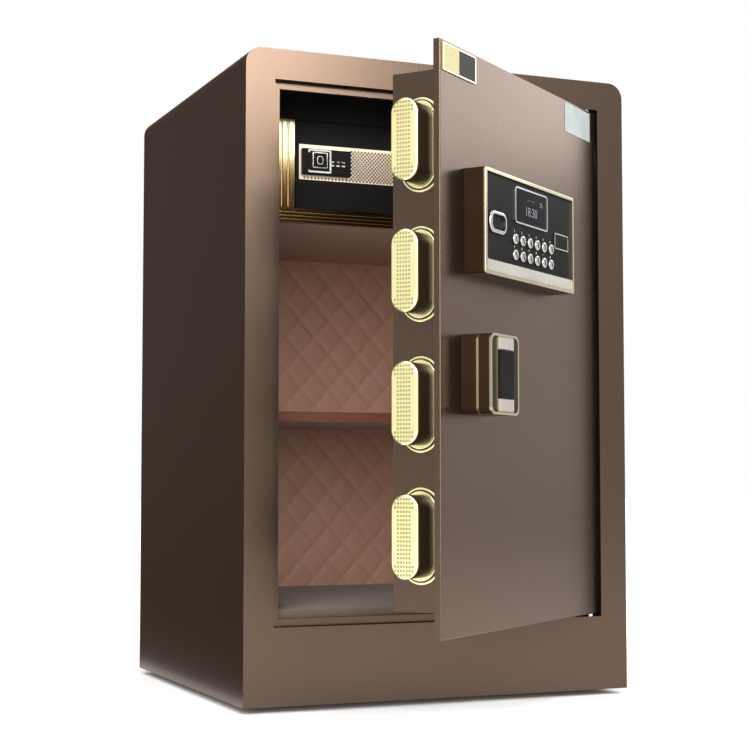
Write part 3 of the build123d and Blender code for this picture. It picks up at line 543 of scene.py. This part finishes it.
def keyLabels():
    bm = bmesh.new()
    for index, sign in enumerate(keys["labels"]):
        addText(bm, sign, keys["labelSize"],
                atKey(index, keys["labelUp"], panel["fasciaProud"]))
    return finishPiece(bm, "keyLabels", printGrey, "door")


def screenFigures():
    bm = bmesh.new()
    for text, size, across, up in screen["lines"]:
        addText(bm, text, size, onDoor(screen["centre"][0] + across, screen["centre"][1] + up,
                                       panel["glassProud"]))
    return finishPiece(bm, "screenFigures", screenGrey, "door")


keyTop = max(-(doorPlace.inverted() @ nodes["key_1"].matrix_world @ v.co).y
             for v in nodes["key_1"].data.vertices)
# a dark band painted on each key's dome as its reflection
reflectionBand = {"length": 0.0054, "width": 0.0011, "sunk": 0.0002, "lift": 0.0004, "turn": 25, "sides": 12}


# painted reflection: a dark band across each key, standing in for the dark reflection that parts
# its shine in two
def keyPaintedReflection(index):
    bm = bmesh.new()
    grow(bm, stadiumFace(bm, reflectionBand["width"], reflectionBand["length"], reflectionBand["sides"]), reflectionBand["lift"],
         atKey(index, 0, keyTop - reflectionBand["sunk"])
         @ Matrix.Rotation(math.radians(reflectionBand["turn"]), 4, "Z"))
    return finishPiece(bm, f"keyPaintedReflection{index + 1}", fasciaBlack, f"key_{index + 1}")


for index in range(len(keys["labels"])):
    keyPaintedReflection(index)
keyLabels()
screenFigures()

print("stage: plates")
badge = {"edge": (0.187, 0.2175), "height": (0.4165, 0.431), "proud": 0.0188, "rim": 0.0011,
         "corner": 0.0006, "lift": 0.0004}


def rimAround(spec, name, material):
    bm = bmesh.new()
    (left, right), (low, high) = spec["edge"], spec["height"]
    grow(bm, roundedFace(bm, right - left, high - low, spec["corner"]), spec["lift"],
         onDoor((left + right) / 2, (low + high) / 2, spec["proud"]), rim=spec["rim"])
    return finishPiece(bm, name, material, "door")


rimAround(plate, "namePlateRim", paleGold)
rimAround(badge, "badgeRim", chrome)

print("stage: camera and lights")
view = {"x": -0.6627, "y": -1.5936, "z": 0.20734, "yaw": 22.727, "pitch": 3.613, "lens": 80.03,
        "sensor": 36}
cameraData = bpy.data.cameras.new("camera")
cameraData.lens = view["lens"]
cameraData.sensor_width = view["sensor"]
camera = bpy.data.objects.new("camera", cameraData)
bpy.context.scene.collection.objects.link(camera)
camera.location = (view["x"], view["y"], view["z"])
camera.rotation_euler = (math.radians(90 + view["pitch"]), 0, -math.radians(view["yaw"]))
bpy.context.scene.camera = camera
bpy.context.scene.view_settings.view_transform = "Standard"


def areaLight(name, place, target, width, height, power, colour=(1, 1, 1)):
    data = bpy.data.lights.new(name, "AREA")
    data.shape = "RECTANGLE"
    data.size = width
    data.size_y = height
    data.energy = power
    data.color = colour
    lamp = bpy.data.objects.new(name, data)
    bpy.context.scene.collection.objects.link(lamp)
    lamp.location = place
    lamp.rotation_euler = (Vector(place) - Vector(target)).to_track_quat("Z", "Y").to_euler()
    return lamp


# place, target, width, height, power, colour; the first three show in the frame and the door
lamps = {
    "frameSoftbox": ((0.28, -2.05, 1.22), (-0.19, -0.18, 0.58), 0.7, 0.6, 25, (1, 1, 1)),
    "doorSoftbox": ((2.1, 0.25, 1.35), (0.0, -0.27, 0.5), 1.3, 0.9, 17, (0.9, 0.95, 1)),
    "doorFill": ((2.3, 0.3, 0.62), (0.0, -0.27, 0.4), 1.6, 0.9, 1.5, (0.9, 0.96, 1)),
    "roomSoftbox": ((-1.6, -3.0, 1.25), (0, 0.1, 0.3), 2.4, 2.2, 190, (1, 1, 1)),
    "topSoftbox": ((-0.2, -0.5, 2.4), (0, 0, 0.3), 2.0, 2.0, 40, (1, 1, 1)),
}
for name, (place, target, width, height, power, colour) in lamps.items():
    areaLight(name, place, target, width, height, power, colour)

studio = {"ambient": (0.50, 0.49, 0.48), "floorSize": 30, "floorGloss": 0.3, "shade": 0.12}
world = bpy.data.worlds.new("studio")
bpy.context.scene.world = world
world.use_nodes = True
worldTree = world.node_tree
ambient = worldTree.nodes["Background"]
ambient.inputs["Color"].default_value = (*studio["ambient"], 1)
white = addNode(worldTree, "ShaderNodeBackground")
white.inputs["Color"].default_value = (1, 1, 1, 1)


# 1 where a ray should see the pale room itself: camera, glossy and transmission rays
def seesRoom(tree):
    path = addNode(tree, "ShaderNodeLightPath")
    value = path.outputs["Is Camera Ray"]
    for other in ("Is Glossy Ray", "Is Transmission Ray"):
        larger = addNode(tree, "ShaderNodeMath", operation="MAXIMUM")
        tree.links.new(value, larger.inputs[0])
        tree.links.new(path.outputs[other], larger.inputs[1])
        value = larger.outputs[0]
    return value


blend = addNode(worldTree, "ShaderNodeMixShader")
worldTree.links.new(seesRoom(worldTree), blend.inputs[0])
worldTree.links.new(ambient.outputs[0], blend.inputs[1])
worldTree.links.new(white.outputs[0], blend.inputs[2])
worldTree.links.new(blend.outputs[0], worldTree.nodes["World Output"].inputs["Surface"])


def stagePlane(name, width, height, place):
    bm = bmesh.new()
    roundedFace(bm, width, height)
    bmesh.ops.transform(bm, matrix=place, verts=bm.verts)
    mesh = bpy.data.meshes.new(name)
    bm.to_mesh(mesh)
    bm.free()
    plane = bpy.data.objects.new(name, mesh)
    bpy.context.scene.collection.objects.link(plane)
    return plane


# the floor keeps its shadows near the safe and brightens to white further off
fade = {"start": 0.34, "end": 1.1}
floor = stagePlane("floor", studio["floorSize"], studio["floorSize"], Matrix.Identity(4))
floorMat, floorTree, floorShader = newMaterial("floorPaint")
floorNoise = noiseValue(floorTree, objectCoords(floorTree), 3)
floorTree.links.new(mixColours(floorTree, floorNoise, (0.95, 0.95, 0.95), (0.93, 0.93, 0.93)),
                    floorShader.inputs["Base Color"])
floorShader.inputs["Roughness"].default_value = 0.9
floorShader.inputs["Specular IOR Level"].default_value = 0.0
floorShader.inputs["Emission Color"].default_value = (1, 1, 1, 1)
reach = addNode(floorTree, "ShaderNodeVectorMath", operation="LENGTH")
floorTree.links.new(objectCoords(floorTree), reach.inputs[0])
seen = remap(floorTree, reach.outputs["Value"], fade["start"], fade["end"])
path = addNode(floorTree, "ShaderNodeLightPath")
glow = addNode(floorTree, "ShaderNodeMath", operation="MULTIPLY")
floorTree.links.new(path.outputs["Is Camera Ray"], glow.inputs[0])
floorTree.links.new(seen, glow.inputs[1])
gloss = addNode(floorTree, "ShaderNodeMath", operation="MULTIPLY_ADD")
floorTree.links.new(path.outputs["Is Glossy Ray"], gloss.inputs[0])
gloss.inputs[1].default_value = studio["floorGloss"]
floorTree.links.new(glow.outputs[0], gloss.inputs[2])
floorTree.links.new(gloss.outputs[0], floorShader.inputs["Emission Strength"])
floor.data.materials.append(floorMat)

# dark cards behind and to the left, seen only in the gloss of the left side
cardMat, cardTree, cardShader = newMaterial("shadeCard")
cardShader.inputs["Base Color"].default_value = (0, 0, 0, 1)
cardShader.inputs["Emission Color"].default_value = (1, 0.62, 0.45, 1)
cardShader.inputs["Emission Strength"].default_value = studio["shade"]
cards = {
    "shadeCardBack": (4.4, 3.2, Matrix.Translation((-1.7, 1.9, 1.6))
                      @ Matrix.Rotation(math.radians(18), 4, "Z") @ upright),
    "shadeCardFloor": (3.2, 2.8, Matrix.Translation((-1.82, 1.2, 0.003))),
}
for name, (width, height, place) in cards.items():
    card = stagePlane(name, width, height, place)
    card.visible_camera = False
    card.visible_diffuse = False
    card.visible_shadow = False
    card.data.materials.append(cardMat)
